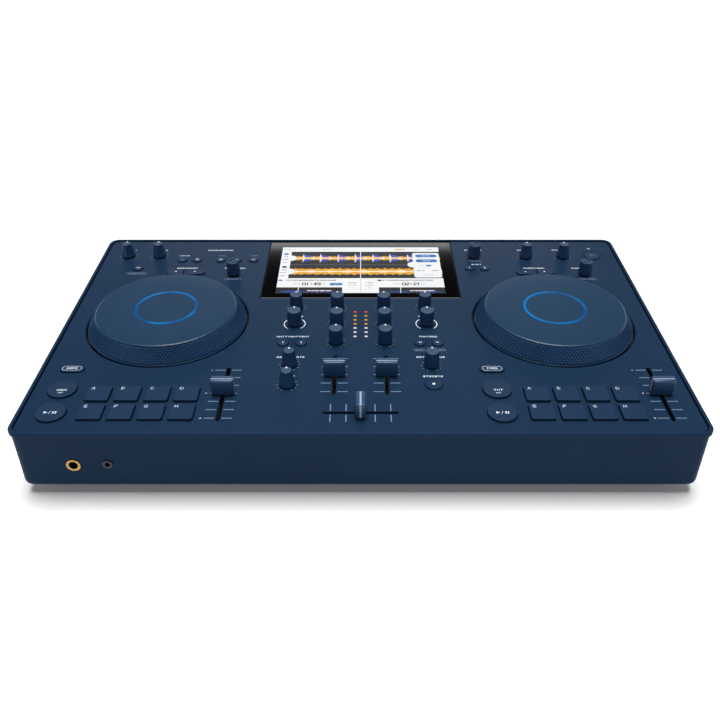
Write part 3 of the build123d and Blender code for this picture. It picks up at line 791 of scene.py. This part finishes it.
for n, width in ((0, 10.0), (2, 6.0), (4, 6.4)):
    x, y, _ = sourceKeys[n]
    blankWord(faint if n else white, x + 0.3, y + 8.9, width, 1.3, *inkLayer, pitch=1.7)
blankWord(white, sourceKeys[2][0] - 2.7, sourceKeys[2][1] + 20.1, 24.4, 1.9, *inkLayer)
effectKeys = keyTops("effect_keys")
fxX = middle("effect_keys")[0]
blankWord(white, fxX - 0.1, effectKeys[0][1] + 9.6, 15.2, 1.9, *inkLayer)
blankWord(white, effectKeys[2][0] + 0.2, effectKeys[2][1] + 10.7, 15.4, 1.9, *inkLayer)
for n, shift in ((0, -0.9), (1, 1.0)):
    x, y, _ = effectKeys[n]
    outlineCapsule(faint, x + shift, y - 9.6, 9.0, 3.0, 0.3, *inkLayer)
    blankWord(faint, x + shift, y - 9.6, 5.6, 1.3, *inkLayer, pitch=1.7)

ticks = bmesh.new()
for node, kind in knobKinds.items():
    x, y = middle(node)
    if kind == "filter":  # broad arc with a gap at the front
        outer, inner = arcPoints(x, y, 9.05, -50, 230, 60), arcPoints(x, y, 8.3, -50, 230, 60)
        band(white, outer, inner, *inkLayer, closed=False)
        for angle in (-50, 230):
            spot = arcPoints(x, y, 8.67, angle, angle, 1)[0]
            slab(white, arcPoints(*spot, 0.45, 0, 345, 23), *inkLayer)
    elif kind != "selector":
        for n in range(11):
            angle = 90 + 150 - 30 * n
            start, end = [arcPoints(x, y, r, angle, angle, 1)[0] for r in (7.1, 8.0)]
            stroke(ticks, *start, *end, 0.42, *inkLayer)
scales = {"channel_fader_1": 5, "channel_fader_2": 5, "tempo_fader_left": 7, "tempo_fader_right": 7}
travel = {"channel_fader_1": 42.4, "channel_fader_2": 42.4, "tempo_fader_left": 57.9,
          "tempo_fader_right": 57.9}
tickHalf = 0.33
for node, count in scales.items():
    x, y = middle(node)
    for n in range(count):
        level = y + travel[node] * (0.5 - n / (count - 1))
        for side in (-1, 1):
            x0, x1 = sorted((x + side * 2.5, x + side * 10.1))
            slab(ticks, rect(x0, x1, level - tickHalf, level + tickHalf), *inkLayer)
    if count == 7:
        glyph(white, "-", x - 12.7, y + travel[node] / 2, 1.8, *inkLayer)
        glyph(white, "+", x - 12.5, y - travel[node] / 2, 2.2, *inkLayer)
        slab(white, arcPoints(x - 12.7, y, 0.5, 0, 345, 23), *inkLayer)
x, y = middle("crossfader")
for spot in (-21.6, -10.35, 10.35, 21.6):
    for side in (-1, 1):
        y0, y1 = sorted((y + side * 2.2, y + side * 10.0))
        slab(ticks, rect(x + spot - tickHalf, x + spot + tickHalf, y0, y1), *inkLayer)
finishPiece("panel_print_white", white, [whiteInk], chassis)
finishPiece("panel_print_ticks", ticks, [tickInk], chassis)
finishPiece("panel_print_faint", faint, [faintInk], chassis)


def printOn(node, draw, material=whiteInk, suffix="print"):
    bm = bmesh.new()
    for n, (x, y, top) in enumerate(keyTops(node)):
        draw(bm, n, x, y, top - 0.02, top + 0.04)
    finishPiece(f"{node}_{suffix}", bm, [material], bodyOf[node])


def sourceIcons(bm, n, x, y, z0, z1):
    if n == 1:
        band(bm, arcPoints(x, y, 1.3, 0, 345, 23), arcPoints(x, y, 0.9, 0, 345, 23), z0, z1)
    elif n in (2, 4):
        for shift in (-0.8, 0.8):
            triangle(bm, x + shift, y, 1.6, -1 if n == 2 else 1, z0, z1)
    elif n == 3:
        triangle(bm, x, y, 1.8, 1, z0, z1)
    elif n == 5:
        blankWord(bm, x, y, 3.6, 1.2, z0, z1, pitch=1.3)


def padLetters(bm, n, x, y, z0, z1):
    glyph(bm, "ABCDEFGH"[n], x - 4.7, y + 5.6, 2.5, z0, z1, 0.4, wide=1.25)


def cueMarks(bm, n, x, y, z0, z1):
    blankWord(bm, x + 0.4, y - 2.1, 7.4, 2.2, z0, z1, pitch=2.4)
    blankWord(bm, x + 0.2, y - 5.4, 4.0, 1.1, z0, z1, pitch=1.3)


def playMarks(bm, n, x, y, z0, z1):
    triangle(bm, x - 3.2, y - 0.9, 2.8, 1, z0, z1)
    stroke(bm, x - 0.9, y - 2.2, x + 0.3, y + 0.4, 0.35, z0, z1)
    for shift in (2.2, 3.9):
        slab(bm, rect(x + shift - 0.45, x + shift + 0.45, y - 2.2, y + 0.4), z0, z1)


def shiftMarks(bm, n, x, y, z0, z1):
    outlineCapsule(bm, x, y, 15.0, 5.4, 0.3, z0, z1)
    blankWord(bm, x, y, 8.6, 1.9, z0, z1, pitch=1.9)


def jumpArrows(bm, n, x, y, z0, z1):
    triangle(bm, x + (0.6 if n == 0 else -1.2), y, 1.9, -1 if n == 0 else 1, z0, z1)


def numbers(bm, n, x, y, z0, z1):
    glyph(bm, "12"[n], x, y, 2.3, z0, z1, 0.45)


def effectMarks(bm, n, x, y, z0, z1):
    if n == 2:
        slab(bm, arcPoints(x, y, 1.15, 0, 345, 23), z0, z1)
    else:
        towards = -1 if n == 0 else 1
        triangle(bm, x + 0.3 * towards, y, 1.9, towards, z0, z1)
        slab(bm, rect(*sorted((x - 1.6 * towards, x - 1.2 * towards)), y - 0.8, y + 0.8), z0, z1)


def powerMark(bm, n, x, y, z0, z1):
    band(bm, arcPoints(x, y, 1.9, 120, 420, 30), arcPoints(x, y, 1.55, 120, 420, 30), z0, z1, closed=False)
    slab(bm, rect(x - 0.18, x + 0.18, y + 0.4, y + 2.2), z0, z1)


for side in ("left", "right"):
    printOn("performance_pads_" + side, padLetters)
    printOn("cue_button_" + side, cueMarks)
    printOn("play_button_" + side, playMarks)
    printOn("shift_button_" + side, shiftMarks)
    printOn("beat_jump_keys_" + side, jumpArrows)
printOn("load_keys", numbers)
printOn("cue_select_keys", numbers)
printOn("effect_keys", effectMarks)
printOn("source_keys", sourceIcons)
printOn("power_key", powerMark, tickInk)
bm = bmesh.new()
x, y, top = sourceKeys[0]
slab(bm, roundedRect(x, y, 1.5, 2.6, 0.5, 3), top - 0.02, top + 0.04)
finishPiece("source_keys_lit_icon", bm, [blueGlow], bodyOf["source_keys"])
print("prints made")


# picture on the screen

glassLow, glassHigh = [[c / mm for c in corner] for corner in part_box("display_glass")]
screen = {"width": 150.0, "height": 87.4, "lift": 0.02, "layer": 0.02}
screenX = (glassLow[0] + glassHigh[0]) / 2
screenY = glassLow[1] + 8.5  # front edge of the lit area
glowOrder = list(screenGlow)
ui = bmesh.new()


def level(layer):
    z = glassHigh[2] + screen["lift"] + screen["layer"] * layer
    return z - screen["layer"], z


def tile(u0, u1, v0, v1, layer, colour, r=0.0):
    # u runs right from the middle, v runs back from the front edge
    if r:
        outline = roundedRect(screenX + (u0 + u1) / 2, screenY + (v0 + v1) / 2, u1 - u0, v1 - v0, r, 5)
    else:
        outline = rect(screenX + u0, screenX + u1, screenY + v0, screenY + v1)
    slab(ui, outline, *level(layer), glowOrder.index(colour))


def wave(u0, u1, v, height, layer, colour, step=0.5):
    # symmetric trace about v, with height(u) as its half width
    count = int((u1 - u0) / step)
    us = [u0 + (u1 - u0) * n / count for n in range(count + 1)]
    upper = [(screenX + u, screenY + v + max(0.08, height(u))) for u in us]
    lower = [(screenX + u, screenY + v - max(0.08, height(u))) for u in us]
    band(ui, lower, upper, *level(layer), glowOrder.index(colour), closed=False)


def words(u, v, width, height, layer, colour, pitch=1.5):
    blankWord(ui, screenX + u, screenY + v, width, height, *level(layer), glowOrder.index(colour), pitch)


tile(-screen["width"] / 2, screen["width"] / 2, 0, screen["height"], 1, "white")
tile(-65.9, 75.0, 26.6, 78.2, 2, "dark")
tile(-65.9, 75.0, 51.9, 52.3, 3, "grey")
beats = [-54.7 + 16.45 * n for n in range(8)]
jitter = {name: [dice.random() for n in range(400)] for name in ("kick", "body", "low", "core")}


def jitterAt(name, u):
    return jitter[name][int((u + 80) * 2) % 400]


def sinceBeat(u):
    past = [u - b for b in beats if b <= u]
    return min(past) if past else 99


def kickBlue(u):
    t = sinceBeat(u)
    return (8.2 - 0.45 * t) * (0.85 + 0.15 * jitterAt("kick", u)) if t < 8.2 else 1.0


def bodyOrange(u):
    t = sinceBeat(u)
    return (1.4 if 0.8 < t < 7.5 else 2.6) + 2.0 * jitterAt("body", u)


def kickCream(u):
    t = sinceBeat(u)
    if t < 2.0:
        return 8.8 * (1 - t / 2.0) + 0.8
    return 0.8 + 2.6 * max(0, 1 - abs(t - 10) / 1.6)


def secondBody(u):
    return 4.6 + 2.6 * jitterAt("low", u) * (0.6 + 0.4 * math.sin(u * 0.9))


def secondCore(u):
    return 1.0 + 2.6 * jitterAt("core", u) * (0.5 + 0.5 * math.sin(u * 0.38)) ** 2


def overviewBody(u):
    return 0.1 + 1.3 * abs(math.sin(u * 0.13)) * jitterAt("body", u)


def overviewCore(u):
    return 0.2 + 0.8 * jitterAt("core", u)


wave(-63, 75, 65.0, kickBlue, 3, "deepBlue", 0.45)
wave(-63, 75, 65.0, bodyOrange, 4, "orange", 0.6)
wave(-63, 75, 65.0, kickCream, 5, "cream", 0.45)
wave(-63, 75, 39.0, secondBody, 3, "orange", 0.5)
wave(-61, 75, 39.0, secondCore, 4, "cream", 0.7)
for u, v, side in ((-65.9, 65.0, 1), (-65.9, 39.0, 1), (49.2, 52.1, -1)):  # white tabs
    start = -90 if side > 0 else 90
    outline = arcPoints(screenX + u, screenY + v, 5.4, start, start + 180, 24)
    slab(ui, outline, *level(6), glowOrder.index("white"))
tile(-0.35, 0.35, 26.6, 78.2, 7, "white")
tile(49.2, 74.4, 27.6, 75.4, 8, "white", 2.4)
for v in (69.4, 59.6):
    tile(51.8, 72.2, v - 2.9, v + 2.9, 9, "blue", 2.8)
    words(62.0, v, 8.0, 1.4, 10, "white")
tile(60.9, 66.0, 48.7, 51.7, 9, "blue", 1.4)
words(56.5, 50.2, 5.0, 1.3, 9, "grey")
words(55.6, 40.6, 7.0, 1.9, 9, "grey")
words(69.0, 40.6, 5.6, 1.9, 9, "grey")
words(62.0, 32.4, 9.0, 1.0, 9, "grey")
for v in (73.4, 47.8):  # left column: deck chips and small readings
    tile(-72.9, -68.6, v - 1.6, v + 1.6, 2, "blue" if v > 60 else "ink", 1.0)
    words(-70.6, v - 5.4, 4.6, 2.6, 2, "blue", 2.2)
    words(-71.6, v - 10.6, 5.6, 1.6, 2, "grey")
    words(-71.6, v - 17.0, 5.0, 2.2, 2, "blue", 2.4)
words(-69.5, 83.0, 7.0, 1.3, 2, "grey")
words(-32.0, 83.0, 9.0, 1.1, 2, "grey")
tile(33.0, 42.5, 82.0, 84.0, 2, "orange", 0.9)
words(54.0, 83.0, 4.0, 1.3, 2, "grey")
words(66.0, 83.0, 5.0, 1.3, 2, "ink")
for mid, digits in ((-44.2, "01:49"), (45.4, "02:21")):
    words(mid + (-0.8 if mid < 0 else -3.0), 22.6, 46.0, 2.2, 2, "ink", 2.0)
    tile(mid - 30.0, mid - 26.4, 21.4, 23.8, 2, "blue" if mid < 0 else "ink", 0.8)
    for n, mark in enumerate(digits):
        place = screenX + mid + (n - 2) * 3.3
        glyph(ui, mark, place, screenY + 16.0, 4.0, *level(2), 0.85, glowOrder.index("ink"))
    words(mid + 10.5, 16.0, 4.4, 1.3, 2, "grey")
    words(mid - 13.0, 16.0, 6.0, 1.2, 2, "grey")
tile(-27.8, -16.2, 13.4, 17.8, 2, "blue", 2.1)
words(-22.0, 15.6, 5.0, 1.2, 3, "white")
for side in (-1, 1):
    words(side * 7.6, 17.8, 7.6, 2.2, 2, "grey", 2.3)
    words(side * 7.6, 13.2, 8.6, 1.1, 2, "grey")
    words(side * 7.6, 8.6, 3.0, 1.1, 2, "grey")
    tile(*sorted((side * 16.3, side * 75.0)), 0.0, 9.9, 2, "dark", 0.6)
    centre = side * 45.5
    wave(centre - 26, centre + 28, 2.4, overviewBody, 3, "deepBlue", 0.8)
    wave(centre - 2, centre + 20, 4.0, overviewCore, 4, "cream", 0.7)
    tile(centre - 10.2, centre - 9.6, 0.0, 9.9, 5, "white")
tile(-0.12, 0.12, 2.0, 25.6, 2, "grey")
finishPiece("screen_picture", ui, [screenGlow[name] for name in glowOrder], chassis)
print("screen made")


# floor, light and camera

floorInk = grainy("pale studio paper", {
    "face": "#f4f4f4", "deep": "#f1f1f1", "roughness": 0.9, "spread": 0.04, "grain": 1.5, "bump": 0.02,
    "cloud": 400, "specular": 0.1})
studio = {"floorHalf": 4.0, "silk": 4.2, "silkAngle": 40, "silkTilt": -9, "front": 7.0, "side": 0.8,
          "back": 2.8, "wall": 0.5, "wallTop": 0.36, "dark": 0.02, "darkFrom": 0.48}
floorMesh = bpy.data.meshes.new("studio_floor")
reach = studio["floorHalf"]
floorCorners = [(x, y, 0) for x, y in rect(-reach, reach, -reach, reach)]
floorMesh.from_pydata(floorCorners, [], [(0, 1, 2, 3)])
floorMesh.materials.append(floorInk)
floorPiece = bpy.data.objects.new("studio_floor", floorMesh)
bpy.context.collection.objects.link(floorPiece)


def softBox(name, place, target, sizeX, sizeY, power, mirrored=True):
    light = bpy.data.lights.new(name, "AREA")
    light.shape = "RECTANGLE"
    light.size, light.size_y, light.energy = sizeX, sizeY, power
    lamp = bpy.data.objects.new(name, light)
    lamp.location = place
    lamp.visible_glossy = mirrored
    lamp.rotation_euler = (Vector(target) - Vector(place)).to_track_quat("-Z", "Y").to_euler()
    bpy.context.collection.objects.link(lamp)


softBox("front softbox", (0.0, -1.6, 1.1), (0, -0.1, 0.03), 1.8, 0.8, studio["front"], mirrored=False)
softBox("left strip", (-1.3, 0.1, 0.5), (0, 0, 0.05), 0.3, 1.2, studio["side"])
softBox("right strip", (1.3, 0.1, 0.5), (0, 0, 0.05), 0.3, 1.2, studio["side"])
softBox("back strip", (0.0, 2.0, 0.78), (0, 0.14, 0.06), 1.5, 0.42, studio["back"])
ceiling = bpy.data.lights.new("overhead silk", "SUN")
ceiling.energy, ceiling.angle = studio["silk"], math.radians(studio["silkAngle"])
ceilingLamp = bpy.data.objects.new("overhead silk", ceiling)
ceilingLamp.rotation_euler = (math.radians(studio["silkTilt"]), 0, 0)
bpy.context.collection.objects.link(ceilingLamp)
world = bpy.data.worlds.new("studio surround")
world.use_nodes = True
air = world.node_tree
towards = addNode(air, "ShaderNodeTexCoord")
height = addNode(air, "ShaderNodeSeparateXYZ", {"Vector": towards.outputs["Generated"]})
glow = addNode(air, "ShaderNodeMapRange", {  # bright low walls, dark above them
    "Value": height.outputs["Z"], "From Min": studio["wallTop"], "From Max": studio["darkFrom"],
    "To Min": studio["wall"], "To Max": studio["dark"]}, interpolation_type="SMOOTHSTEP")
air.links.new(glow.outputs["Result"], air.nodes["Background"].inputs["Strength"])
air.nodes["Background"].inputs["Color"].default_value = hexColour("#eef1f4")
bpy.context.scene.world = world
bpy.context.scene.view_settings.view_transform = "Standard"

camera = {"place": (0.0, -0.57475, 0.4194), "pitch": 34.98, "lens": 40.58, "shift": -0.0008}
lensData = bpy.data.cameras.new("view camera")
lensData.lens = camera["lens"]
lensData.sensor_width = 36.0
lensData.shift_x = camera["shift"]
lensData.clip_start = 0.01
viewCamera = bpy.data.objects.new("view camera", lensData)
viewCamera.location = camera["place"]
viewCamera.rotation_euler = (math.radians(90 - camera["pitch"]), 0, 0)
bpy.context.collection.objects.link(viewCamera)
bpy.context.scene.camera = viewCamera
print("studio made")
